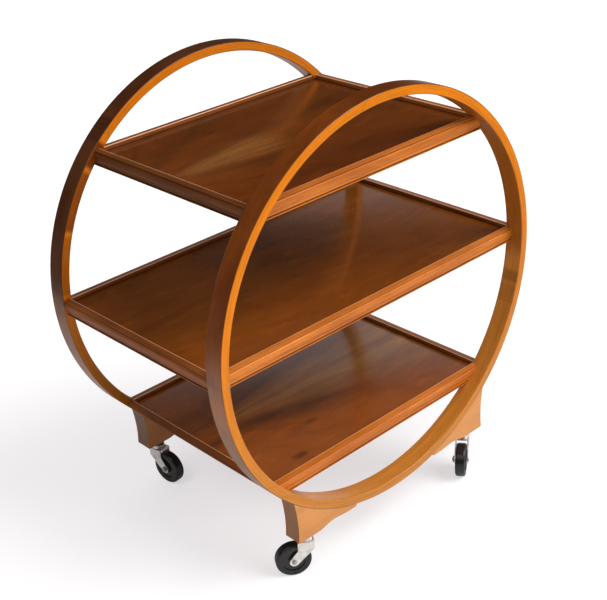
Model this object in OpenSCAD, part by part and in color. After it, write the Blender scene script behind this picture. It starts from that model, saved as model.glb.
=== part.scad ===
// Serving trolley: two upright walnut hoops, one behind the other, carry three
// rectangular trays; four shaped feet under the hoops each hold a swivel caster.
// X runs along the trays, -Y is the near side, and Z = 0 is the floor.

/* [Hoops] */
// Outer radius of each hoop
hoop_r = 350; // [320:1:380]
// Radial thickness of the hoops
hoop_t = 16; // [15:0.5:20]
// Front-to-back width of each hoop's band
hoop_w = 34; // [30:1:40]
// Rounding of the hoops' long edges
hoop_round = 1.5; // [0.5:0.25:3]
// Depth of the trolley over both hoops
trolley_d = 435; // [400:1:500]
// Length of the slanted joints between a hoop's three arcs
scarf_l = 18; // [8:1:30]
// Angle of the near hoop's first joint, from +X towards the top
near_joint = -23; // [-30:1:-15]
// Angle of the far hoop's first joint, from +X towards the top
far_joint = 10; // [5:1:15]

/* [Trays] */
// Height of the top tray's rim above the hoops' centre
top_rise = 242; // [225:0.5:250]
// Height of the middle tray's rim above the hoops' centre
mid_rise = 10.5; // [0:0.5:30]
// Height of the bottom tray's rim above the hoops' centre
low_rise = -228; // [-235:0.5:-215]
// How far the top tray's end stops inside the hoops' outer circle
top_inset = 2; // [2:0.1:8]
// How far the middle tray's end stops inside the hoops' outer circle
mid_inset = 3; // [1:0.1:5]
// How far the bottom tray's end stops inside the hoops' outer circle
low_inset = 6.1; // [2:0.1:9]
// Thickness of the tray panels
panel_t = 9; // [6:0.5:10]
// How far the panels lie below the top of the mouldings
panel_drop = 8; // [5:0.5:9]
// Step from the panels' top down to the tongue round their edges
panel_step = 2.5; // [1.5:0.5:4]
// Gap round the panels' tops, to the mouldings at the ends and the hoops' inward faces
panel_gap = 0.3; // [0.1:0.1:0.6]
// Depth of the panel groove in the mouldings
groove_d = 6; // [4:0.5:7]
// Gap between a panel's edge and the bottom of its groove
groove_gap = 0.5; // [0.2:0.1:1]

/* [Mouldings] */
// Width of the mouldings' top face
rim_w = 11; // [10:0.5:14]
// Height of the mouldings
rim_h = 26; // [25:0.5:32]
// Step of the long mouldings outwards from the hoops' inward faces
rim_step = 0.5; // [0.3:0.1:2]
// Rounding of the mouldings' inner top edge
arris_r = 1; // [0.5:0.1:2]
// Fall of the top face towards its outer edge
rim_fall = 0.8; // [0.2:0.1:1.5]
// Thickness of the lip along the top face's outer edge
lip_t = 1.2; // [0.6:0.1:2]
// Depth of the groove under the lip
quirk_d = 1.5; // [0.5:0.1:2.5]
// Height of the groove under the lip
quirk_h = 1.5; // [0.8:0.1:2]
// Height of the half-round from its upper edge to its fullest point
bead_up = 5; // [3:0.5:6]
// Height of the half-round from its fullest point to its lower edge
bead_down = 9; // [6:0.5:9]
// How far the half-round stands out past the top face
bead_out = 1.5; // [0.5:0.1:3]
// Depth of the lower groove, behind the flat under the half-round
low_quirk_d = 1; // [0.5:0.1:2]
// Height of the lower groove
low_quirk_h = 2; // [1:0.1:3]
// Height of the fillet along the bottom edge
fillet_h = 1.6; // [1:0.1:2.5]

/* [Blocks and dowels] */
// Length of the corner blocks under the trays
block_l = 40; // [30:1:60]
// Width of the corner blocks
block_w = 20; // [15:0.5:25]
// Height of the corner blocks
block_h = 14; // [10:0.5:16]
// How far the corner blocks stay inside the hoops' outer circle
block_inset = 6; // [4.5:0.5:8]
// Radius of the dowels between the end mouldings and the hoops
tray_dowel_r = 2.5; // [2:0.25:2.75]
// Depth of the tray dowels in the hoops
tray_dowel_out = 14; // [8:0.5:20]
// Depth of the tray dowels in the end mouldings
tray_dowel_in = 14; // [8:0.5:20]

/* [Feet] */
// Height of the feet's undersides above the hoops' lowest point
foot_rise = 6.5; // [4:0.5:7]
// Distance of the feet's outer sides from the middle, at the foot's bottom
foot_x = 227.5; // [220:0.5:235]
// Length of the feet along the hoop
foot_l = 131.5; // [120:0.5:140]
// Length of the flat pad that the caster is fixed to
foot_pad_l = 43.5; // [43:0.5:55]
// Distance of the feet's faces inside the hoops' faces
foot_recess = 1; // [0:0.25:2]
// Height at which the feet's outer sides meet the hoops
foot_side_h = 84; // [80:1:90]
// Outward flare of the feet's outer sides at the top
foot_flare = 5; // [0:0.5:8]
// Hollow of the feet's outer sides
foot_hollow = 3; // [0:0.5:5]
// Radius of the feet's bottom corner
foot_corner_r = 2.5; // [1:0.25:4]
// Length of the hollow under the feet, from the pad to its highest point
foot_cove_l = 36; // [30:0.5:38]
// Height of the hollow under the feet
foot_cove_h = 5.5; // [4:0.25:7]
// Length from the highest point of the hollow to the swell near the feet's tips
foot_swell_l = 38; // [34:0.5:40]
// Height of the swell near the feet's tips
foot_swell_h = 2.5; // [2:0.25:3.5]
// Radius of the feet's tips
foot_nose_r = 3; // [2:0.25:4]
// Height of the feet's tips, which the hoop cuts into
foot_tip_h = 30; // [25:1:35]
// Radius of the foot dowels
dowel_r = 4; // [3:0.5:5]
// Depth of the foot dowels in the hoops
dowel_up = 10; // [8:0.5:12]
// Depth of the foot dowels in the feet
dowel_down = 12; // [8:0.5:14]
// Angle of the inner foot dowels from straight down
dowel_in_a = 25; // [22:0.5:27]
// Angle of the outer foot dowels from straight down
dowel_out_a = 38; // [37:0.5:39]

/* [Casters] */
// Radius of the caster wheels
wheel_r = 30.3; // [25:0.1:32]
// Width of the tyres
tyre_w = 18; // [14:0.5:22]
// Thickness of the tyres
tyre_t = 6.5; // [4:0.5:9]
// Rounding of the tyres' edges
tyre_round = 4; // [2:0.25:6]
// Distance of the wheel axles behind the swivel stems
trail = 23.3; // [18:0.1:28]
// Distance of the caster stems from the middle, along the trays
stem_x = 197.4; // [196:0.1:205]
// Distance of the caster stems inside the hoops' middle planes
stem_inset = 2.5; // [0:0.25:4]
// Direction of the near left caster's wheel from its stem
near_left_yaw = 149.7; // [0:0.1:360]
// Direction of the near right caster's wheel from its stem
near_right_yaw = 215; // [0:0.1:360]
// Direction of the far left caster's wheel from its stem
far_left_yaw = 277.1; // [0:0.1:360]
// Direction of the far right caster's wheel from its stem
far_right_yaw = 145; // [0:0.1:360]
// Thickness of the fork's sheet steel
fork_t = 2; // [1.5:0.1:2.5]
// Outer radius of the folds between the fork's crown and its legs
fold_r = 3; // [2.75:0.25:4]
// Gap between the tyre and each fork leg
fork_gap = 1; // [0.6:0.1:2]
// Gap between the tyre and the fork's crown
crown_gap = 5.7; // [5:0.1:9]
// Length of the fork's crown
crown_l = 28; // [26:0.5:30]
// Overhang of the crown past the stem, away from the wheel
crown_over = 11.8; // [11:0.1:13]
// Height of the fork legs' straight rear edges
leg_drop = 15; // [10:0.5:18]
// Radius of the fork legs' round ends
leg_end_r = 8; // [7:0.25:9]
// Radius of the lower bearing cup
cup_r = 11.5; // [10.5:0.25:11.75]
// Height of the lower bearing cup
cup_h = 4.6; // [3.5:0.1:6]
// Radius of the upper bearing race
race_r = 11.5; // [10.5:0.25:13]
// Height of the upper bearing race
race_h = 7.2; // [5:0.1:8]
// Radius of the bearing's ball circle
ball_circle_r = 8; // [7.5:0.1:8.5]
// Radius of the bearing balls
ball_r = 1.8; // [1.4:0.1:2]
// Number of bearing balls
ball_count = 10; // [6:1:11]
// Radius of the swivel stem
stem_r = 4; // [3.5:0.25:4.5]
// Depth of the swivel stem in the foot
stem_up = 34; // [25:1:36]
// Radius of the stem's head under the crown
stem_head_r = 6.5; // [5.5:0.25:7]
// Height of the stem's head under the crown
stem_head_h = 2; // [1.5:0.1:2.4]
// Radius of the wheel axle
axle_r = 3; // [2.5:0.25:3.5]
// Radius of the axle's head
axle_head_r = 4.2; // [4:0.1:6]
// Height of the axle's head
axle_head_h = 1.6; // [1:0.1:3]
// Length of thread that shows past the nut
thread_l = 1; // [0.5:0.1:3]
// Radius over the corners of the axle nut
nut_r = 5.8; // [5:0.1:7]
// Height of the axle nut
nut_h = 3; // [2:0.1:5]
// Radius of the wheel core's hub
hub_r = 9; // [7:0.25:11]
// Thickness of the wheel core's web
web_t = 13; // [5:0.5:15]
// Radial thickness of the wheel core's rim
core_rim_t = 4; // [3:0.25:5]

/* [Clearances] */
// Radial clearance of the turning fits on stems and axles
run_gap = 0.05; // [0.02:0.01:0.08]
// Radial clearance round dowels and stems in wood
push_gap = 0.05; // [0:0.01:0.1]
// Gap between faces that turn past each other
face_gap = 0.4; // [0.3:0.05:0.6]

/* [Hidden] */
$fn = 64;
// Facets of the preview's large circles
hoop_fn = 360;

// The casters: name, side along X, side along Y, direction of the wheel
CORNERS = [
    ["near_left", -1, -1, near_left_yaw],
    ["near_right", 1, -1, near_right_yaw],
    ["far_left", -1, 1, far_left_yaw],
    ["far_right", 1, 1, far_right_yaw]
];
// The trays: name, rim height above the hoops' centre, inset of the ends
TRAYS = [
    ["top", top_rise, top_inset],
    ["mid", mid_rise, mid_inset],
    ["low", low_rise, low_inset]
];

// Bearing heights, built up from the floor
crown_z = 2 * wheel_r + crown_gap;
cup_z = crown_z + fork_t;
race_z = cup_z + cup_h + face_gap;
foot_z = race_z + race_h;
hoop_z = foot_z - foot_rise + hoop_r;

hoop_in_r = hoop_r - hoop_t;
hoop_y = trolley_d / 2 - hoop_w / 2;
hoop_face_y = trolley_d / 2 - hoop_w;
rim_y = hoop_face_y + rim_step;
scarf_a = scarf_l / (2 * PI * hoop_r) * 360;
arc_a = 120;
stem_y = hoop_y - stem_inset;
fork_in = tyre_w / 2 + fork_gap;
fork_out = fork_in + fork_t;
channel_d = ball_r + face_gap;
cut = 2 * hoop_r;

// Point at a radius and an angle
function polar(r, a) = [r * cos(a), r * sin(a)];
// Distance from the middle at which a circle of radius r stands at height z
function reach(r, z) = sqrt(r * r - z * z);
// Quarter turns of a curve round a centre, from angle a0 to a1
function arc(c, rx, ry, a0, a1, n) =
    [for (i = [0:n]) let (a = a0 + (a1 - a0) * i / n) [c[0] + rx * cos(a), c[1] + ry * sin(a)]];
// Points of a smooth curve between p0 and p3, drawn towards p1 and p2
function bezier(p0, p1, p2, p3, n) =
    [for (i = [0:n]) let (t = i / n, s = 1 - t)
        s * s * s * p0 + 3 * s * s * t * p1 + 3 * s * t * t * p2 + t * t * t * p3];
// Rectangle with rounded corners, its lower left corner at the origin
function round_box(w, h, r) = concat(
    arc([w - r, r], r, r, -90, 0, 4),
    arc([w - r, h - r], r, r, 0, 90, 4),
    arc([r, h - r], r, r, 90, 180, 4),
    arc([r, r], r, r, 180, 270, 4)
);
// Distance of a tray's end from the middle, and of the moulding's inner side
function end_x(tray) = reach(hoop_r - tray[2], tray[1]);
function inner_x(tray) = end_x(tray) - rim_w;
// Height of a panel's underside above the hoops' centre
function panel_rise(tray) = tray[1] - panel_drop - panel_t;
// Distance from the middle of the outer ends of a tray's corner blocks
function block_end(tray) =
    min(inner_x(tray), reach(hoop_r - block_inset, panel_rise(tray) - block_h));
// Whether the hoops' outer circle cuts in behind the panel groove at a tray's ends
function cut_short(tray) = reach(hoop_r, panel_rise(tray)) < inner_x(tray) + groove_d;

// Children once on each side along X
module both_ends() {
    for (sx = [0, 1]) mirror([sx, 0, 0]) children();
}

// Children once at each of the four corners
module all_corners() {
    for (sy = [0, 1]) mirror([0, sy, 0]) both_ends() children();
}

// ---- Hoops ----

// Slice of the hoop's plane between two slanted joints
module hoop_sector(first) {
    last = first + arc_a;
    half = scarf_a / 2;
    edge_in = hoop_in_r - hoop_t;
    edge_out = hoop_r + hoop_t;
    slant = half * (edge_out - edge_in) / hoop_t;
    polygon([
        [0, 0],
        polar(edge_in, first + slant),
        polar(edge_out, first - slant),
        polar(cut, first + arc_a / 4),
        polar(cut, first + arc_a / 2),
        polar(cut, last - arc_a / 4),
        polar(edge_out, last - slant),
        polar(edge_in, last + slant)
    ]);
}

// Space for the dowels that run into the far hoop
module hoop_holes() {
    both_ends() {
        for (tray = TRAYS) tray_dowel(tray, push_gap);
        for (a = [dowel_in_a, dowel_out_a]) dowel(a, push_gap);
    }
}

module hoop_arc(side, first) {
    color("sienna")
    difference() {
        translate([0, side * hoop_y, hoop_z])
        rotate([90, 0, 0])
        intersection() {
            rotate_extrude($fn = hoop_fn)
            translate([hoop_in_r, -hoop_w / 2])
            polygon(round_box(hoop_t, hoop_w, hoop_round));
            linear_extrude(2 * hoop_w, center = true) hoop_sector(first);
        }
        mirror([0, side < 0 ? 1 : 0, 0]) hoop_holes();
    }
}

// ---- Trays ----

// The hoops' bands and all that lies outside them, which the trays are cut to
module hoop_cutter() {
    translate([0, 0, hoop_z])
    rotate([90, 0, 0]) {
        difference() {
            cylinder(h = cut, r = cut, center = true);
            cylinder(h = 2 * cut, r = hoop_r, center = true, $fn = hoop_fn);
        }
        for (side = [-1, 1])
        translate([0, 0, side * (hoop_face_y + hoop_w)])
        difference() {
            cylinder(h = 2 * hoop_w, r = hoop_r + hoop_t, center = true, $fn = hoop_fn);
            cylinder(h = 3 * hoop_w, r = hoop_in_r, center = true, $fn = hoop_fn);
        }
    }
}

module panel(tray) {
    tongue_x = inner_x(tray) + groove_d - groove_gap;
    tongue_y = rim_y + groove_d - groove_gap;
    top_x = inner_x(tray) - panel_gap;
    top_y = hoop_face_y - panel_gap;
    color("peru")
    translate([0, 0, hoop_z + panel_rise(tray)]) {
        difference() {
            slab(tongue_x, tongue_y, panel_t - panel_step);
            translate([0, 0, -hoop_z - panel_rise(tray)]) hoop_cutter();
        }
        slab(top_x, top_y, panel_t);
    }
}

// Slab of height h round the middle, on z = 0
module slab(half_x, half_y, h) {
    translate([-half_x, -half_y, 0]) cube([2 * half_x, 2 * half_y, h]);
}

// Section of the moulding, inner side at x = 0 and top face at y = 0
function rim_section() =
    let (
        lip_z = -rim_fall - lip_t,
        bead_z = lip_z - quirk_h,
        bead_mid = bead_z - bead_up,
        back = rim_w - quirk_d,
        swell = quirk_d + bead_out,
        low_z = fillet_h + low_quirk_h - rim_h,
        groove_top = -panel_drop - panel_step,
        groove_foot = -panel_drop - panel_t
    )
    concat(
        arc([arris_r, -arris_r], arris_r, arris_r, 180, 90, 4),
        [[rim_w, -rim_fall], [rim_w, lip_z], [back, lip_z]],
        arc([back, bead_mid], swell, bead_up, 90, 0, 8),
        arc([back, bead_mid], swell, bead_down, -9, -90, 9),
        [
            [back, low_z],
            [back - low_quirk_d, low_z],
            [back - low_quirk_d, fillet_h - rim_h],
            [back + low_quirk_d, fillet_h - rim_h],
            [back + low_quirk_d, -rim_h],
            [0, -rim_h],
            [0, groove_foot],
            [groove_d, groove_foot],
            [groove_d, groove_top],
            [0, groove_top]
        ]
    );

// Moulding along X with its outer side towards +Y, mitred at both ends
module mitred_rim(half_in) {
    inside = groove_d + rim_w;
    outside = 3 * rim_w;
    intersection() {
        rotate([90, 0, 90]) linear_extrude(2 * cut, center = true) polygon(rim_section());
        translate([0, 0, -2 * rim_h])
        linear_extrude(3 * rim_h)
        polygon([
            [inside - half_in, -inside],
            [half_in - inside, -inside],
            [half_in + outside, outside],
            [-half_in - outside, outside]
        ]);
    }
}

module rim(tray, side) {
    long = side == "near" || side == "far";
    turn = side == "far" ? 0 : side == "near" ? 180 : side == "left" ? 90 : -90;
    color("saddlebrown")
    difference() {
        translate([0, 0, hoop_z + tray[1]])
        rotate([0, 0, turn])
        translate([0, long ? rim_y : inner_x(tray), 0])
        mitred_rim(long ? inner_x(tray) : rim_y);
        hoop_cutter();
        if (!long) all_corners() tray_dowel(tray, push_gap);
        if (!long && cut_short(tray))
        translate([-cut, -cut, hoop_z + panel_rise(tray) - 2 * rim_h]) cube([2 * cut, 2 * cut, 2 * rim_h]);
    }
}

// ---- Corner blocks and tray dowels ----

module blocks(tray) {
    color("#2a1a12")
    difference() {
        all_corners()
        translate([
            block_end(tray) - block_l,
            rim_y - block_w,
            hoop_z + panel_rise(tray) - block_h
        ])
        cube([block_l, block_w, block_h]);
        hoop_cutter();
    }
}

// Dowel along Y across the joint of an end moulding and the far hoop
module tray_dowel(tray, gap) {
    translate([
        end_x(tray) - rim_w / 2,
        hoop_face_y - tray_dowel_in - gap,
        hoop_z + tray[1] - panel_drop / 2
    ])
    rotate([-90, 0, 0])
    cylinder(h = tray_dowel_in + tray_dowel_out + 2 * gap, r = tray_dowel_r + gap);
}

module tray_dowels() {
    color("burlywood")
    for (tray = TRAYS)
    all_corners() tray_dowel(tray, 0);
}

// ---- Feet ----

// Side view of a foot: outer side at x = 0, towards the middle at -x, bottom at y = 0
function foot_section() =
    let (
        pad = -foot_pad_l,
        cove = pad - foot_cove_l,
        swell = cove - foot_swell_l,
        tip = -foot_l
    )
    concat(
        bezier(
            [foot_flare, foot_side_h],
            [-foot_hollow / 3, foot_side_h * 2 / 3],
            [-foot_hollow, foot_side_h / 3],
            [0, foot_corner_r],
            10
        ),
        arc([-foot_corner_r, foot_corner_r], foot_corner_r, foot_corner_r, 0, -90, 4),
        bezier(
            [pad, 0],
            [pad - foot_cove_l / 3, 0],
            [cove + foot_cove_l * 0.4, foot_cove_h],
            [cove, foot_cove_h],
            8
        ),
        bezier(
            [cove, foot_cove_h],
            [cove - foot_swell_l * 0.3, foot_cove_h],
            [swell + foot_swell_l * 0.4, foot_swell_h],
            [swell, foot_swell_h],
            8
        ),
        arc([tip + foot_nose_r, foot_swell_h + foot_nose_r], foot_nose_r, foot_nose_r, 270, 180, 4),
        [[tip, foot_tip_h]]
    );

module foot(sx, sy) {
    foot_w = hoop_w - 2 * foot_recess;
    color("chocolate")
    mirror([sx < 0 ? 1 : 0, 0, 0])
    mirror([0, sy < 0 ? 1 : 0, 0])
    difference() {
        translate([foot_x, hoop_y, foot_z])
        rotate([90, 0, 0])
        linear_extrude(foot_w, center = true) polygon(foot_section());
        translate([0, 0, hoop_z])
        rotate([90, 0, 0])
        cylinder(h = cut, r = hoop_r, center = true, $fn = hoop_fn);
        for (a = [dowel_in_a, dowel_out_a]) dowel(a, push_gap);
        translate([stem_x, stem_y, foot_z - cup_h])
        cylinder(h = cup_h + stem_up + push_gap, r = stem_r + push_gap);
    }
}

// Dowel across the joint of the far right foot, at an angle from straight down
module dowel(a, gap) {
    translate([0, hoop_y, hoop_z])
    rotate([0, 180 - a, 0])
    translate([0, 0, hoop_r - dowel_up - gap])
    cylinder(h = dowel_up + dowel_down + 2 * gap, r = dowel_r + gap);
}

module foot_dowels() {
    color("burlywood")
    all_corners() {
        dowel(dowel_in_a, 0);
        dowel(dowel_out_a, 0);
    }
}

// ---- Casters ----

// Children on the swivel axis of a corner, the wheel standing off towards its yaw
module at_caster(corner) {
    translate([corner[1] * stem_x, corner[2] * stem_y, 0]) rotate([0, 0, corner[3]]) children();
}

// Children on the wheel's axis, which becomes their Z
module at_wheel(corner) {
    at_caster(corner) translate([trail, 0, wheel_r]) rotate([90, 0, 0]) children();
}

// Ring channel that the balls run in, from z0 to z1
module ball_channel(z0, z1) {
    translate([0, 0, z0])
    difference() {
        cylinder(h = z1 - z0, r = ball_circle_r + channel_d);
        translate([0, 0, -1]) cylinder(h = z1 - z0 + 2, r = ball_circle_r - channel_d);
    }
}

// Fixed stem with the upper race on it and a head that holds the fork up
module stem(corner) {
    head_z = crown_z - face_gap - stem_head_h;
    color("#4a4a4c")
    at_caster(corner)
    difference() {
        union() {
            translate([0, 0, head_z]) cylinder(h = foot_z + stem_up - head_z, r = stem_r);
            translate([0, 0, head_z]) cylinder(h = stem_head_h, r = stem_head_r);
            translate([0, 0, race_z]) cylinder(h = race_h, r = race_r);
        }
        ball_channel(race_z - 1, race_z + channel_d);
    }
}

module balls(corner) {
    color("lightgray")
    at_caster(corner)
    for (i = [0:ball_count - 1])
    rotate([0, 0, i * 360 / ball_count])
    translate([ball_circle_r, 0, race_z - face_gap / 2])
    sphere(r = ball_r);
}

// Side view of the fork round the axle, x towards the wheel and y up
function fork_side() =
    let (
        top = cup_z - wheel_r,
        rear = -trail - crown_over,
        front = rear + crown_l,
        knee = top - fork_t - leg_drop,
        low_a = atan2(knee, rear) + acos(leg_end_r / norm([rear, knee])),
        high_a = atan2(knee, front) - acos(leg_end_r / norm([front, knee]))
    )
    concat(
        arc([0, 0], leg_end_r, leg_end_r, low_a - 360, high_a, 18),
        [[front, knee], [front, top], [rear, top], [rear, knee]]
    );

// Section of the fork's bent sheet, its crown's top face at y = top
function fork_sheet(top, bottom) =
    let (fold_y = top - fold_r, fold_x = fork_out - fold_r, inner = fold_r - fork_t)
    concat(
        [[fork_out, bottom]],
        arc([fold_x, fold_y], fold_r, fold_r, 0, 90, 6),
        arc([-fold_x, fold_y], fold_r, fold_r, 90, 180, 6),
        [[-fork_out, bottom], [-fork_in, bottom]],
        arc([-fold_x, fold_y], inner, inner, 180, 90, 4),
        arc([fold_x, fold_y], inner, inner, 90, 0, 4),
        [[fork_in, bottom]]
    );

module fork(corner) {
    channel_z = race_z - face_gap / 2 - ball_r;
    color("silver")
    difference() {
        union() {
            intersection() {
                at_wheel(corner) linear_extrude(4 * fork_out, center = true) polygon(fork_side());
                at_caster(corner)
                rotate([90, 0, 90])
                linear_extrude(4 * crown_l, center = true)
                polygon(fork_sheet(cup_z, wheel_r - 2 * leg_end_r));
            }
            at_caster(corner) translate([0, 0, crown_z]) cylinder(h = fork_t + cup_h, r = cup_r);
        }
        at_caster(corner) {
            translate([0, 0, crown_z - 1]) cylinder(h = fork_t + cup_h + 2, r = stem_r + run_gap);
            ball_channel(channel_z, race_z);
        }
        at_wheel(corner) cylinder(h = 4 * fork_out, r = axle_r + run_gap, center = true);
    }
}

module axle(corner) {
    length = 2 * fork_out + nut_h + thread_l;
    color("gray")
    at_wheel(corner) {
        translate([0, 0, -fork_out]) cylinder(h = length, r = axle_r);
        translate([0, 0, -fork_out - axle_head_h]) cylinder(h = axle_head_h, r = axle_head_r);
    }
}

module nut(corner) {
    color("dimgray")
    at_wheel(corner)
    translate([0, 0, fork_out])
    difference() {
        cylinder(h = nut_h, r = nut_r, $fn = 6);
        translate([0, 0, -1]) cylinder(h = nut_h + 2, r = axle_r + push_gap);
    }
}

module core(corner) {
    rim_r = wheel_r - tyre_t;
    hub_w = 2 * (fork_in - face_gap);
    color("#202022")
    at_wheel(corner)
    difference() {
        union() {
            cylinder(h = hub_w, r = hub_r, center = true);
            cylinder(h = web_t, r = rim_r, center = true);
            difference() {
                cylinder(h = tyre_w - 1, r = rim_r, center = true);
                cylinder(h = tyre_w, r = rim_r - core_rim_t, center = true);
            }
        }
        cylinder(h = 2 * hub_w, r = axle_r + run_gap, center = true);
    }
}

module tyre(corner) {
    color("#111112")
    at_wheel(corner)
    rotate_extrude()
    translate([wheel_r - tyre_t, -tyre_w / 2])
    polygon(concat(
        [[0, tyre_w], [0, 0]],
        arc([tyre_t - tyre_round, tyre_round], tyre_round, tyre_round, -90, 0, 6),
        arc([tyre_t - tyre_round, tyre_w - tyre_round], tyre_round, tyre_round, 0, 90, 6)
    ));
}

// ---- The trolley ----

hoop_arc(-1, near_joint);  // hoop_near_a
hoop_arc(-1, near_joint + arc_a);  // hoop_near_b
hoop_arc(-1, near_joint + 2 * arc_a);  // hoop_near_c
hoop_arc(1, far_joint);  // hoop_far_a
hoop_arc(1, far_joint + arc_a);  // hoop_far_b
hoop_arc(1, far_joint + 2 * arc_a);  // hoop_far_c
for (tray = TRAYS) {
    panel(tray);
    blocks(tray);
    for (side = ["near", "far", "left", "right"])
        rim(tray, side);
}
tray_dowels();
foot_dowels();
for (corner = CORNERS) {
    foot(corner[1], corner[2]);
    stem(corner);
    balls(corner);
    fork(corner);
    axle(corner);
    nut(corner);
    core(corner);
    tyre(corner);
}
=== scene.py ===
"""A serving trolley: two polished walnut hoops carry three rimmed trays on feet with casters."""

import math
from collections import namedtuple

import bmesh
import bpy
from mathutils import Matrix, Vector


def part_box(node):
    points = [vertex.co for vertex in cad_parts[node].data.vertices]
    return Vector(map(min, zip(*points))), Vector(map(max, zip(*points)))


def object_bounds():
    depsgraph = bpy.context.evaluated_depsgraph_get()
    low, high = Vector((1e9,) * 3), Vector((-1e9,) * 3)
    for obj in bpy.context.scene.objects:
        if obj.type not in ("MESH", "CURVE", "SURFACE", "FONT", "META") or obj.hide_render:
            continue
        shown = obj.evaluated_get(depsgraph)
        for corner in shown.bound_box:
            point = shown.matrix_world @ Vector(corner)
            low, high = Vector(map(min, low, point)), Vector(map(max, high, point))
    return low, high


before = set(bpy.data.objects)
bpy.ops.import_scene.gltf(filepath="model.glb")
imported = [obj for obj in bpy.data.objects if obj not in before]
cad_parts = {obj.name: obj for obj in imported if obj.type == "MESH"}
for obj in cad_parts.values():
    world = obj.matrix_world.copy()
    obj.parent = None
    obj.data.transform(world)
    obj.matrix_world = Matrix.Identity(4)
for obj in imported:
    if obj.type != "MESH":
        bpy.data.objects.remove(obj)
cad_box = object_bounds()


# ---- Hoops -------------------------------------------------------------------------------------
# Two rings of bent walnut, each glued up from three arcs whose slanted joints show on the faces.
# The faces are stained amber, the band round the outside is dark veneer and the lining is paler.
# The band and the lining are polished. Old staining darkens the near lining and the far band.
# Painted shadow of the trays darkens the far hoop's face, with some staining where the top tray
# meets it. Low down, the far face is painted darker as painted shade and the bands paler as a
# painted reflection of the floor; the near lining is painted paler low down as painted light and
# darker above as painted shade.


class Value:
    """A socket of a node. Python's operators on it add the Math nodes."""

    def __init__(self, graph, socket):
        self.graph = graph
        self.socket = socket

    def maths(self, operation, *others):
        inputs = dict(enumerate((self,) + others))
        return self.graph.node("Math", {"operation": operation}, inputs)["Value"]

    def __add__(self, other):
        return self.maths("ADD", other)

    def __mul__(self, other):
        return self.maths("MULTIPLY", other)

    def __sub__(self, other):
        return self.maths("SUBTRACT", other)

    def __truediv__(self, other):
        return self.maths("DIVIDE", other)

    def __abs__(self):
        return self.maths("ABSOLUTE")

    def __rsub__(self, other):
        return self * -1 + other

    __radd__ = __add__
    __rmul__ = __mul__

    def step(self, low, high):
        """0 below low, 1 above high, and smooth between them."""
        settings = {"interpolation_type": "SMOOTHSTEP"}
        ends = {"Value": self, "From Min": low, "From Max": high}
        return self.graph.node("MapRange", settings, ends)["Result"]

    def between(self, low, high, soft):
        """1 from low to high, falling to 0 within the soft distance outside them."""
        return self.step(low - soft, low) * (1 - self.step(high, high + soft))


class Graph:
    """The nodes of a material or of the world, added by kind, with their settings and inputs."""

    def __init__(self, tree):
        self.tree = tree

    def node(self, kind, settings, inputs):
        made = self.tree.nodes.new("ShaderNode" + kind)
        for name, setting in settings.items():
            setattr(made, name, setting)
        for name, value in inputs.items():
            if isinstance(value, Value):
                self.tree.links.new(value.socket, made.inputs[name])
            else:
                made.inputs[name].default_value = value
        return {out.name: Value(self, out) for out in made.outputs if out.enabled}

    def mix(self, mask, first, second, blend="MIX"):
        settings = {"data_type": "RGBA", "blend_type": blend, "clamp_factor": True}
        return self.node("Mix", settings, {0: mask, 6: first, 7: second})["Result"]


class Finish(Graph):
    """A material: the shader's fixed numbers, and what feeds its colour, gloss and relief."""

    def __init__(self, name, **fixed):
        self.material = bpy.data.materials.new(name)
        self.material.use_nodes = True
        super().__init__(self.material.node_tree)
        self.shader = self.tree.nodes["Principled BSDF"]
        for socket, number in fixed.items():
            self.shader.inputs[socket.replace("_", " ")].default_value = number

    def place(self):
        """X, Y and Z of the point, in metres, in the trolley's own frame."""
        point = self.node("TexCoord", {}, {})["Object"]
        parts = self.node("SeparateXYZ", {}, {"Vector": point})
        return parts["X"], parts["Y"], parts["Z"]

    def noise(self, x, y, z, detail=2.0, roughness=0.5, distortion=0.0):
        at = self.node("CombineXYZ", {}, {"X": x, "Y": y, "Z": z})["Vector"]
        inputs = {"Vector": at, "Scale": 1.0, "Detail": detail, "Roughness": roughness}
        inputs["Distortion"] = distortion
        return self.node("TexNoise", {}, inputs)["Fac"]

    def pores(self, x, y, z):
        """1 in scattered specks and 0 between them."""
        return self.noise(x, y, z).step(0.62, 0.74)

    def feed(self, **links):
        for socket, value in links.items():
            self.tree.links.new(value.socket, self.shader.inputs[socket.replace("_", " ")])

    def relief(self, height, depth):
        """Bumps as deep as height times depth, in metres."""
        bump = self.node("Bump", {}, {"Height": height, "Strength": 1.0, "Distance": depth})
        self.feed(Normal=bump["Normal"])

    def on(self, *nodes):
        """Puts the finish on those pieces of the frame."""
        for name in nodes:
            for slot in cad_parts[name].material_slots:
                slot.material = self.material


def colour(red, green, blue):
    return (red, green, blue, 1.0)


# A darkened span of a hoop, for staining and for painted shadow alike.
StainAndShadow = namedtuple("StainAndShadow", "part first last strength")

# The arcs have flat facets, so their box is a hair small, and the radius is rounded to 1 mm.
HOOP_R = round((cad_box[1].x - cad_box[0].x) / 2, 3)
HOOP_T = 0.016
HOOP_Z = cad_box[1].z - HOOP_R
EDGE_SOLID = 0.0006
EDGE_GONE = 0.0016
ARC_DEGREES = 120.0
JOINT_LENGTH = 0.018
GLUE_LINE = (0.0002, 0.0007)
STAIN_SOFT = 1.5
GRAIN_DEPTH = 0.00006

# Heights between which a colour changes: above the floor, and above the hoops' middle. The fades
# carry painted shade on the far face, a painted reflection of the floor on the bands, and painted
# light and shade on the near lining.
FACE_TONE_AND_SHADE_FADE = (0.05, 0.6)
BAND_REFLECTION_FADE = (-0.12, 0.08)
LINING_LIGHT_AND_SHADE_FADE = (-0.06, -0.01)

FACE_FIGURE = colour(0.52, 0.155, 0.01)
BAND_CLOUDS = colour(0.5, 0.45, 0.4)
LINING_CLOUDS = colour(0.6, 0.5, 0.4)
# Darkens the joints, the staining and the painted shadows.
DARK_POLISH_AND_SHADOW = colour(0.22, 0.14, 0.10)
HOOP_FIBRES = colour(0.10, 0.035, 0.008)
HOOP_PORES = colour(0.05, 0.018, 0.006)


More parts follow.
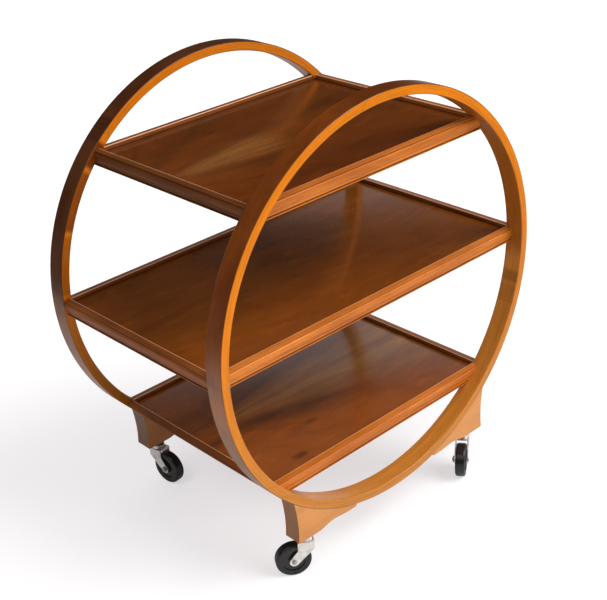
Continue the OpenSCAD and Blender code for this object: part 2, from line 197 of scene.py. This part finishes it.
def hoop_finish(name, seed, coat, first_joint, face, band, lining, stains_and_shadows):
    """Face, band and lining are each a colour low on the hoop and one above it: on the near face
    a change of tone, on the far face painted shade, on the bands a painted reflection of the
    floor and on the near lining painted light below and painted shade above. Angles are in
    degrees from the hoop's right end, positive over the top, as far as 180 at its left end."""
    finish = Finish(name, Specular_IOR_Level=0.18, Coat_Roughness=0.12)
    x, y, z = finish.place()
    rise = z - HOOP_Z
    radius = (x * x + rise * rise).maths("SQRT")
    turn = rise.maths("ARCTAN2", x)
    along = turn * HOOP_R
    degrees = turn * math.degrees(1)
    outside = radius.step(HOOP_R - EDGE_GONE, HOOP_R - EDGE_SOLID)
    inside = 1 - radius.step(HOOP_R - HOOP_T + EDGE_SOLID, HOOP_R - HOOP_T + EDGE_GONE)
    broad = finish.noise(
        along * 3, y * 45 + seed, radius * 60, detail=3.0, roughness=0.6, distortion=0.4
    )
    cloud = finish.noise(
        along * 9, y * 12 + seed, radius * 12, detail=3.0, roughness=0.55, distortion=0.3
    )
    fibre = finish.noise(along * 14, y * 420 + seed, radius * 500, detail=4.0, roughness=0.65)
    pores = finish.pores(along * 70, y * 1500, radius * 1500 + seed)
    # Tone changes low on the near face; painted shade darkens the far face low down.
    faced = finish.mix(z.step(*FACE_TONE_AND_SHADE_FADE), *face)
    faced = finish.mix(broad.step(0.3, 0.75) * 0.22, faced, FACE_FIGURE)
    # Painted reflection of the floor: the band is paler low on the hoop.
    veneer = finish.mix(rise.step(*BAND_REFLECTION_FADE), *band)
    veneer = finish.mix(cloud.step(0.35, 0.65) * 0.7, veneer, BAND_CLOUDS, "MULTIPLY")
    wood = finish.mix(outside, faced, veneer)
    # Painted light and shade: the near lining is paler low down and darker above.
    lit_and_shaded_lining = finish.mix(rise.step(*LINING_LIGHT_AND_SHADE_FADE), *lining)
    lit_and_shaded_lining = finish.mix(broad.step(0.3, 0.7) * 0.4, lit_and_shaded_lining, LINING_CLOUDS, "MULTIPLY")
    wood = finish.mix(inside, wood, lit_and_shaded_lining)
    parts = {"face": 1 - outside - inside, "band": outside, "lining": inside}
    # Staining, and painted shadow of the trays on the far face, darken these spans.
    for stain in stains_and_shadows:
        stain_and_shadow_mark = degrees.between(stain.first, stain.last, STAIN_SOFT) * parts[stain.part]
        stain_and_shadow_mark = stain_and_shadow_mark * stain.strength * (cloud * 0.6 + 0.7)
        wood = finish.mix(stain_and_shadow_mark, wood, DARK_POLISH_AND_SHADOW, "MULTIPLY")
    nearest = (degrees - first_joint).maths("WRAP", ARC_DEGREES / 2, -ARC_DEGREES / 2)
    slant = (radius - (HOOP_R - HOOP_T / 2)) * (JOINT_LENGTH / HOOP_T)
    joint = 1 - abs(nearest * (math.radians(1) * HOOP_R) + slant).step(*GLUE_LINE)
    wood = finish.mix(joint * 0.6, wood, DARK_POLISH_AND_SHADOW, "MULTIPLY")
    wood = finish.mix(fibre.step(0.35, 0.75) * 0.3, wood, HOOP_FIBRES, "MULTIPLY")
    wood = finish.mix(pores * 0.45, wood, HOOP_PORES)
    finish.feed(
        Base_Color=wood,
        Roughness=fibre * 0.16 + 0.22,
        Coat_Weight=outside * coat + inside * 0.2,
    )
    finish.relief(fibre * 0.6 - pores, GRAIN_DEPTH)
    return finish


hoop_finish(
    "near hoop walnut",
    seed=0.0,
    coat=0.5,
    first_joint=-23.0,
    face=(colour(0.58, 0.225, 0.040), colour(0.80, 0.218, 0.001)),
    band=(colour(0.34, 0.11, 0.012), colour(0.21, 0.049, 0.004)),
    lining=(colour(0.66, 0.245, 0.035), colour(0.42, 0.13, 0.017)),
    stains_and_shadows=(StainAndShadow("lining", -14.5, -12.5, 0.35), StainAndShadow("lining", -20.5, -17.0, 0.2)),
).on("hoop_near_a", "hoop_near_b", "hoop_near_c")
hoop_finish(
    "far hoop walnut",
    seed=7.0,
    coat=0.25,
    first_joint=10.0,
    face=(colour(0.17, 0.066, 0.010), colour(0.78, 0.205, 0.005)),
    band=(colour(0.33, 0.105, 0.018), colour(0.095, 0.029, 0.008)),
    lining=(colour(0.42, 0.13, 0.02), colour(0.42, 0.13, 0.014)),
    stains_and_shadows=(
        # Staining with painted contact shadow where the top tray's end meets the far face.
        StainAndShadow("face", 134.0, 140.0, 1.0),
        # Painted shadow of the top tray on the far face, in two spans.
        StainAndShadow("face", 143.0, 158.0, 0.75),
        StainAndShadow("face", 161.0, 176.0, 0.4),
        # Painted shadow beside the middle tray's end.
        StainAndShadow("face", 179.0, 180.0, 1.0),
        StainAndShadow("band", 127.0, 133.0, 0.4),
    ),
).on("hoop_far_a", "hoop_far_b", "hoop_far_c")


# ---- Tray mouldings ----------------------------------------------------------------------------
# Strips of walnut with a flat top, a half-round and a fillet, mitred at the corners, grooved for
# the panels and cut round the hoops. Painted shade darkens the grooves and the crease by the
# panel, and the inner arris carries a painted highlight.
# Places on a moulding are measured out from its inner side and down from its top.

MOULDING_SEEDS = {"near": 16, "far": 15, "left": 16, "right": 17}
ARRIS_HIGHLIGHT_OUT = (0.0011, 0.0015)
ARRIS_HIGHLIGHT_DOWN = (0.0010, 0.0016)
UPPER_GROOVE = (0.0023, 0.0033)
LOWER_GROOVE = (0.0226, 0.0242)
GROOVE_SOFT = 0.0004
GROOVES_OUT = (0.0070, 0.0080)
PANEL_OUT = (0.0004, 0.0010)
PANEL_DOWN = (0.0060, 0.0076)

MOULDING_FIBRES = colour(0.40, 0.25, 0.12)
MOULDING_PORES = colour(0.06, 0.018, 0.006)
PAINTED_ARRIS_HIGHLIGHT = colour(0.85, 0.50, 0.30)
PAINTED_GROOVE_SHADE = colour(0.035, 0.012, 0.005)


def moulding_finish(tray, side, pale, deep, dull=0.22):
    finish = Finish(f"{tray} {side} moulding", Specular_IOR_Level=0.2)
    x, y, z = finish.place()
    low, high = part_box(f"{tray}_rim_{side}")
    if side in ("near", "far"):
        along, across, inner = x, y, min(abs(low.y), abs(high.y))
    else:
        along, across, inner = y, x, min(abs(low.x), abs(high.x))
    outward = abs(across) - inner
    drop = high.z - z
    seed = MOULDING_SEEDS[side]
    broad = finish.noise(
        along * 5, across * 40 + seed, z * 40, detail=3.0, roughness=0.6, distortion=0.5
    )
    fibre = finish.noise(along * 16, across * 420 + seed, z * 420, detail=4.0, roughness=0.65)
    pores = finish.pores(along * 80, across * 1500, z * 1500 + seed)
    wood = finish.mix(broad.step(0.3, 0.7), pale, deep)
    wood = finish.mix(fibre.step(0.35, 0.75) * 0.25, wood, MOULDING_FIBRES, "MULTIPLY")
    wood = finish.mix(pores * 0.5, wood, MOULDING_PORES)
    # A painted highlight along the inner arris, where the rounding catches the lamp.
    arris = (1 - outward.step(*ARRIS_HIGHLIGHT_OUT)) * (1 - drop.step(*ARRIS_HIGHLIGHT_DOWN))
    wood = finish.mix(arris * 0.8, wood, PAINTED_ARRIS_HIGHLIGHT)
    # Painted shade in the grooves under the half-round and in the crease by the panel.
    grooves = drop.between(*UPPER_GROOVE, GROOVE_SOFT) + drop.between(*LOWER_GROOVE, GROOVE_SOFT)
    grooves = grooves * outward.step(*GROOVES_OUT)
    by_panel = (1 - outward.step(*PANEL_OUT)) * drop.step(*PANEL_DOWN)
    wood = finish.mix((grooves + by_panel) * 0.85, wood, PAINTED_GROOVE_SHADE)
    finish.feed(Base_Color=wood, Roughness=fibre * 0.14 + dull)
    finish.relief(fibre * 0.6 - pores, GRAIN_DEPTH)
    finish.on(f"{tray}_rim_{side}")


for tray in ("top", "mid", "low"):
    moulding_finish(tray, "near", colour(0.72, 0.22, 0.030), colour(0.50, 0.13, 0.014))
    moulding_finish(tray, "far", colour(0.30, 0.085, 0.016), colour(0.20, 0.05, 0.009))
    moulding_finish(tray, "right", colour(0.34, 0.10, 0.018), colour(0.22, 0.06, 0.010))
moulding_finish("top", "left", colour(0.17, 0.050, 0.006), colour(0.11, 0.029, 0.003), dull=0.40)
moulding_finish("mid", "left", colour(0.27, 0.075, 0.012), colour(0.15, 0.036, 0.004), dull=0.32)
moulding_finish("low", "left", colour(0.22, 0.062, 0.010), colour(0.13, 0.032, 0.004), dull=0.32)


# ---- Tray panels -------------------------------------------------------------------------------
# Boards faced with crown-cut walnut veneer, French polished. On the top and bottom trays a pale
# fan of sapwood opens from the left, with darker streaks, reddish wood and small knots beside it.

# A fan opens from x, y by its spread for each metre of length, and is gone where x is its end.
Fan = namedtuple("Fan", "x y spread end strength")
Knot = namedtuple("Knot", "x y size")

FAN_ROOT = 0.014
FIBRE_DEPTH = 0.000003

FINE_FIGURE = colour(0.45, 0.32, 0.22)
PALE_FLECKS = colour(1.7, 1.5, 1.4)
DARK_FLECKS = colour(0.5, 0.45, 0.45)
KNOT_BROWN = colour(0.03, 0.014, 0.007)
PANEL_FIBRES = colour(0.4, 0.3, 0.2)
PANEL_PORES = colour(0.03, 0.012, 0.005)


def panel_finish(name, seed, coat, fan, pale, dark, red, knots):
    finish = Finish(name, Coat_Weight=coat, Coat_Roughness=0.08)
    x, y, _ = finish.place()
    wander = finish.noise(x * 3, y * 3, seed) - 0.5
    offset = y - fan.y + wander * 0.03
    ahead = (x - fan.x).maths("MAXIMUM", 0.0)
    across = offset / (ahead * fan.spread + abs(offset) * 0.25 + FAN_ROOT)
    streaks = finish.noise(x * 2.2, across * 0.9 + seed, seed, detail=3.0, distortion=0.5)
    fine = finish.noise(x * 9, across * 3.2, seed + 4, detail=3.0, roughness=0.55, distortion=0.4)
    rays = finish.noise(x * 2, across * 2.6, seed + 6, detail=3.0, distortion=0.3)
    cloud = finish.noise(x * 9, y * 14, seed + 8, detail=3.0, distortion=0.6)
    flecks = finish.noise(x * 16, y * 55, seed + 12, detail=3.0, distortion=0.5)
    fibre = finish.noise(x * 14, y * 420, seed, detail=4.0, roughness=0.6)
    pores = finish.pores(x * 70, y * 1500, seed)
    # Dark and reddish wood, redder towards the near left.
    near = (0 - y + cloud * 0.16).step(0.0, 0.20) * (1 - x.step(-0.05, 0.30) * 0.6)
    wood = finish.mix(streaks.step(0.30, 0.70) * 0.6 + cloud * 0.3, dark, red)
    wood = finish.mix(near * 0.8, wood, red)
    # The pale fan with its rays, and a dark streak on the near side of its root.
    heart = 1 - abs(across + wander * 0.9).step(0.25, 1.1)
    toward = (x - fan.x).step(-0.02, 0.05) * (1 - (x + cloud * 0.1).step(fan.end - 0.08, fan.end))
    rays = rays.step(0.36, 0.62) * 0.5 + 0.45
    wood = finish.mix(heart * toward * rays * fan.strength, wood, pale)
    streak = (1 - abs(across + 1.15).step(0.05, 0.45)) * toward * (1 - (x - fan.x).step(0.1, 0.3))
    wood = finish.mix(streak * 0.7 * fan.strength, wood, dark)
    # Fine figure along the fan, flecks, knots, fibres and pores.
    wood = finish.mix(fine.step(0.45, 0.75) * 0.35, wood, FINE_FIGURE, "MULTIPLY")
    wood = finish.mix(flecks.step(0.52, 0.75) * 0.4, wood, PALE_FLECKS, "MULTIPLY")
    wood = finish.mix((1 - flecks.step(0.25, 0.42)) * 0.3, wood, DARK_FLECKS, "MULTIPLY")
    for knot in knots:
        dx = (x - knot.x) / (knot.size * 2)
        dy = (y - knot.y) / knot.size
        spot = 1 - (dx * dx + dy * dy + flecks * 3).step(1.2, 2.8)
        wood = finish.mix(spot * 0.6, wood, KNOT_BROWN)
    wood = finish.mix(fibre.step(0.35, 0.75) * 0.15, wood, PANEL_FIBRES, "MULTIPLY")
    wood = finish.mix(pores * 0.35, wood, PANEL_PORES)
    finish.feed(Base_Color=wood, Roughness=cloud * 0.06 + 0.18)
    finish.relief(fibre, FIBRE_DEPTH)
    return finish


panel_finish(
    "top panel veneer",
    seed=2.0,
    coat=0.05,
    fan=Fan(x=-0.225, y=0.008, spread=0.14, end=0.06, strength=1.0),
    pale=colour(0.22, 0.085, 0.018),
    dark=colour(0.075, 0.022, 0.003),
    red=colour(0.15, 0.034, 0.003),
    knots=(Knot(-0.150, 0.180, 0.006), Knot(-0.068, 0.112, 0.008)),
).on("top_panel")
panel_finish(
    "middle panel veneer",
    seed=5.0,
    coat=0.3,
    fan=Fan(x=-0.9, y=0.0, spread=0.14, end=0.5, strength=0.2),
    pale=colour(0.16, 0.052, 0.008),
    dark=colour(0.105, 0.034, 0.004),
    red=colour(0.22, 0.054, 0.004),
    knots=(),
).on("mid_panel")
panel_finish(
    "bottom panel veneer",
    seed=9.0,
    coat=0.4,
    fan=Fan(x=-0.175, y=0.010, spread=0.18, end=0.4, strength=1.0),
    pale=colour(0.32, 0.135, 0.032),
    dark=colour(0.075, 0.026, 0.007),
    red=colour(0.29, 0.074, 0.010),
    knots=(Knot(-0.075, -0.094, 0.008), Knot(-0.157, -0.154, 0.009)),
).on("low_panel")


# ---- Corner blocks and dowels ------------------------------------------------------------------
# Blocks glued under each tray's corners, inside the hoops, coloured near black. Beech dowels hold
# the end mouldings and the feet to the hoops, which hide them.

SAWN_DEPTH = 0.0001


def sawn_finish(name, roughness, scales, first, second):
    finish = Finish(name, Roughness=roughness)
    x, y, z = finish.place()
    grain = finish.noise(x * scales[0], y * scales[1], z * scales[2], detail=3.0)
    finish.feed(Base_Color=finish.mix(grain, first, second))
    finish.relief(grain, SAWN_DEPTH)
    return finish


sawn_finish(
    "block stain", 0.5, (30, 300, 300), colour(0.02, 0.009, 0.005), colour(0.05, 0.02, 0.009)
).on("top_blocks", "mid_blocks", "low_blocks")
sawn_finish(
    "dowel beech", 0.6, (300, 30, 300), colour(0.55, 0.36, 0.18), colour(0.42, 0.25, 0.11)
).on("tray_dowels", "foot_dowels")


# ---- Feet --------------------------------------------------------------------------------------
# Four shaped walnut feet, sawn from the solid with an ogee underside, glued and dowelled to the
# hoops. Their faces are paler than the hoops. The far pair is painted darker as painted shade,
# and the ends are darker both as end grain and as painted shade.

CORNERS = ("near_left", "near_right", "far_left", "far_right")
foot_low, foot_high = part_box("foot_far_right")
FOOT_Y = (foot_low.y + foot_high.y) / 2
FOOT_HALF_T = (foot_high.y - foot_low.y) / 2
FOOT_END = foot_high.x
FAR_FEET_SHADE_SIDE = (-0.05, 0.05)

# How far in from its faces and from its outer end a foot's end grain fades out and in.
FACE_SKIN = (0.0010, 0.0002)
END_GRAIN = (0.0095, 0.0080)

FAR_FEET_PAINTED_SHADE = colour(0.4, 0.33, 0.28)
END_GRAIN_AND_SHADE = colour(0.30, 0.27, 0.28)
FOOT_PORES = colour(0.16, 0.06, 0.02)

foot_finish = Finish("foot walnut", Coat_Weight=0.15, Coat_Roughness=0.2)
x, y, z = foot_finish.place()
broad = foot_finish.noise(x * 8, y * 40, z * 30, detail=3.0, roughness=0.6, distortion=0.6)
fibre = foot_finish.noise(x * 18, y * 420, z * 420, detail=4.0, roughness=0.65)
pores = foot_finish.pores(x * 80, y * 1500, z * 1500)
wood = foot_finish.mix(
    broad.step(0.3, 0.7), colour(0.68, 0.27, 0.060), colour(0.54, 0.20, 0.036)
)
# Painted shade: the far feet, in the shade under the trolley, are painted darker.
wood = foot_finish.mix(y.step(*FAR_FEET_SHADE_SIDE) * 0.75, wood, FAR_FEET_PAINTED_SHADE, "MULTIPLY")
off_middle = abs(abs(y) - FOOT_Y)
off_faces = 1 - off_middle.step(FOOT_HALF_T - FACE_SKIN[0], FOOT_HALF_T - FACE_SKIN[1])
# Darker end grain on the ends, which also stands in as painted shade on the end faces.
end_grain_and_shade = abs(x).step(FOOT_END - END_GRAIN[0], FOOT_END - END_GRAIN[1]) * off_faces
wood = foot_finish.mix(end_grain_and_shade * 0.9, wood, END_GRAIN_AND_SHADE, "MULTIPLY")
wood = foot_finish.mix(pores * 0.4, wood, FOOT_PORES)
foot_finish.feed(Base_Color=wood, Roughness=fibre * 0.16 + 0.26)
foot_finish.relief(fibre * 0.6 - pores, GRAIN_DEPTH)
foot_finish.on(*[f"foot_{corner}" for corner in CORNERS])


# ---- Casters -----------------------------------------------------------------------------------
# Swivel casters: a steel stem pushed up into the foot carries the upper race, and a pressed steel
# fork turns under it on balls. A black wheel with a rubber tyre runs on a steel pin in the fork.

SCRATCH_DEPTH = 0.00003
SCUFF_DEPTH = 0.00008


def grey(level):
    return colour(level, level, level)


def metal_finish(name, clean, dull, roughness):
    finish = Finish(name, Metallic=1.0)
    x, y, z = finish.place()
    scratch = finish.noise(x * 900, y * 900, z * 120, detail=3.0, roughness=0.6)
    stain = finish.noise(x * 90, y * 90, z * 90, detail=4.0, roughness=0.6)
    finish.feed(
        Base_Color=finish.mix(stain.step(0.4, 0.75), clean, dull),
        Roughness=scratch * 0.18 + roughness,
    )
    finish.relief(scratch, SCRATCH_DEPTH)
    return finish


def black_finish(name, shade, roughness):
    """Rubber or moulding, three times as pale where it is scuffed."""
    finish = Finish(name)
    x, y, z = finish.place()
    scuff = finish.noise(x * 160, y * 160, z * 160, detail=4.0, roughness=0.6)
    finish.feed(
        Base_Color=finish.mix(scuff.step(0.45, 0.8), grey(shade), grey(shade * 3)),
        Roughness=scuff * 0.2 + roughness,
    )
    finish.relief(scuff, SCUFF_DEPTH)
    return finish


fork_steel = metal_finish("fork steel", colour(0.88, 0.85, 0.82), colour(0.66, 0.62, 0.59), 0.30)
# The stem and its race are painted near black as painted shade, for the shaded gap under the
# foot.
shaded_race_steel = metal_finish("race steel", grey(0.12), grey(0.05), 0.35)
pin_steel = metal_finish("pin steel", colour(0.55, 0.54, 0.53), colour(0.25, 0.24, 0.23), 0.3)
tyre_rubber = black_finish("tyre rubber", 0.006, 0.25)
wheel_core = black_finish("wheel core", 0.008, 0.2)
for corner in CORNERS:
    fork_steel.on(f"fork_{corner}")
    shaded_race_steel.on(f"stem_{corner}")
    pin_steel.on(f"axle_{corner}", f"nut_{corner}", f"balls_{corner}")
    tyre_rubber.on(f"tyre_{corner}")
    wheel_core.on(f"core_{corner}")


# ---- Studio ------------------------------------------------------------------------------------
# A plain pale floor, lit by a broad lamp from the right front, a weaker one from the left and an
# even surround. The polish reflects a dimmer room and far floor, and a low white card behind the
# trolley, which only reflections show. The camera stands where the photograph was taken.


def stage_shape(name, shape, finish):
    """Stands a shape in the studio, as no part of the trolley."""
    mesh = bpy.data.meshes.new(name)
    shape.to_mesh(mesh)
    shape.free()
    mesh.materials.append(finish.material)
    standing = bpy.data.objects.new(name, mesh)
    bpy.context.scene.collection.objects.link(standing)


FLOOR_REACH = 30.0
FLOOR_FADE = (0.7, 1.9)
FLOOR_GLOW = colour(0.56, 0.545, 0.557)
floor_finish = Finish("floor paint", Roughness=1.0, Specular_IOR_Level=0.0, Emission_Strength=1.0)
x, y, _ = floor_finish.place()
away = (x * x + y * y).maths("SQRT")
rays = floor_finish.node("LightPath", {}, {})
seen, mirrored = rays["Is Camera Ray"], rays["Is Glossy Ray"]
paint = floor_finish.mix(mirrored * away.step(*FLOOR_FADE), grey(0.8), grey(0.08))
floor_finish.feed(
    Base_Color=floor_finish.mix(seen, paint, grey(0.50)),
    Emission_Color=floor_finish.mix(seen, grey(0.0), FLOOR_GLOW),
)
shape = bmesh.new()
bmesh.ops.create_grid(shape, x_segments=1, y_segments=1, size=FLOOR_REACH)
stage_shape("floor", shape, floor_finish)

CARD_BEARING = 41.6
CARD_BACK = 0.8
CARD_W = 2.4
CARD_H = 0.77
CARD_FADE_Z = 0.58
CARD_WHITE = colour(0.62, 0.60, 0.62)
card_finish = Finish("card light", Roughness=1.0, Specular_IOR_Level=0.0, Emission_Strength=1.0)
card_finish.shader.inputs["Base Color"].default_value = grey(0.0)
z = card_finish.place()[2]
mirrored = card_finish.node("LightPath", {}, {})["Is Glossy Ray"]
bright = 1 - z.step(CARD_FADE_Z, CARD_H)
card_finish.feed(
    Emission_Color=card_finish.mix(bright, grey(0.02), CARD_WHITE),
    Alpha=mirrored * bright,
)
card_place = (
    Matrix.Rotation(math.radians(-CARD_BEARING), 4, "Z")
    @ Matrix.Translation((0, CARD_BACK, CARD_H / 2))
    @ Matrix.Rotation(math.radians(90), 4, "X")
    @ Matrix.Diagonal((CARD_W, CARD_H, 1, 1))
)
shape = bmesh.new()
bmesh.ops.create_grid(shape, x_segments=1, y_segments=1, size=0.5, matrix=card_place)
stage_shape("card", shape, card_finish)

ROOM_LIGHT = 0.5
ROOM_MIRRORED = 0.06
CEILING_MIRRORED = 0.015
CEILING_FADE = (0.0, 0.2)
world = bpy.data.worlds.new("studio")
world.use_nodes = True
bpy.context.scene.world = world
surround = Graph(world.node_tree)
direction = surround.node("TexCoord", {}, {})["Generated"]
height = surround.node("SeparateXYZ", {}, {"Vector": direction})["Z"]
rays = surround.node("LightPath", {}, {})
shine = ROOM_MIRRORED - height.step(*CEILING_FADE) * (ROOM_MIRRORED - CEILING_MIRRORED)
level = rays["Is Glossy Ray"] * (shine - ROOM_LIGHT) + rays["Is Camera Ray"] * (1 - ROOM_LIGHT)
background = world.node_tree.nodes["Background"]
world.node_tree.links.new((level + ROOM_LIGHT).socket, background.inputs["Strength"])
background.inputs["Color"].default_value = grey(1.0)


def lamp(name, height, bearing, spread, strength):
    """A broad, far lamp: angles in degrees, with its bearing to the right of the front."""
    light = bpy.data.lights.new(name, "SUN")
    light.angle = math.radians(spread)
    light.energy = strength
    stand = bpy.data.objects.new(name, light)
    stand.rotation_euler = (math.radians(90 - height), 0, math.radians(bearing))
    bpy.context.scene.collection.objects.link(stand)


lamp("key", height=44, bearing=36, spread=40, strength=2.5)
lamp("fill", height=50, bearing=-80, spread=25, strength=0.55)

AZIMUTH = math.radians(-41.639)
ELEVATION = math.radians(27.457)
ROLL = math.radians(-3.88)
DISTANCE = 2.11105
TARGET = Vector((0.0091, 0.0, 0.355))
LENS_MM = 72.28
SENSOR_MM = 36.0
back = Vector((
    math.sin(AZIMUTH) * math.cos(ELEVATION),
    -math.cos(AZIMUTH) * math.cos(ELEVATION),
    math.sin(ELEVATION),
))
right = Vector((0, 0, 1)).cross(back).normalized()
up = back.cross(right)
rolled_right = right * math.cos(ROLL) + up * math.sin(ROLL)
rolled_up = up * math.cos(ROLL) - right * math.sin(ROLL)
camera_data = bpy.data.cameras.new("camera")
camera_data.lens = LENS_MM
camera_data.sensor_width = SENSOR_MM
camera = bpy.data.objects.new("camera", camera_data)
camera.matrix_world = (
    Matrix.Translation(TARGET + back * DISTANCE)
    @ Matrix((rolled_right, rolled_up, back)).transposed().to_4x4()
)
bpy.context.scene.collection.objects.link(camera)
bpy.context.scene.camera = camera
bpy.context.scene.view_settings.view_transform = "Standard"
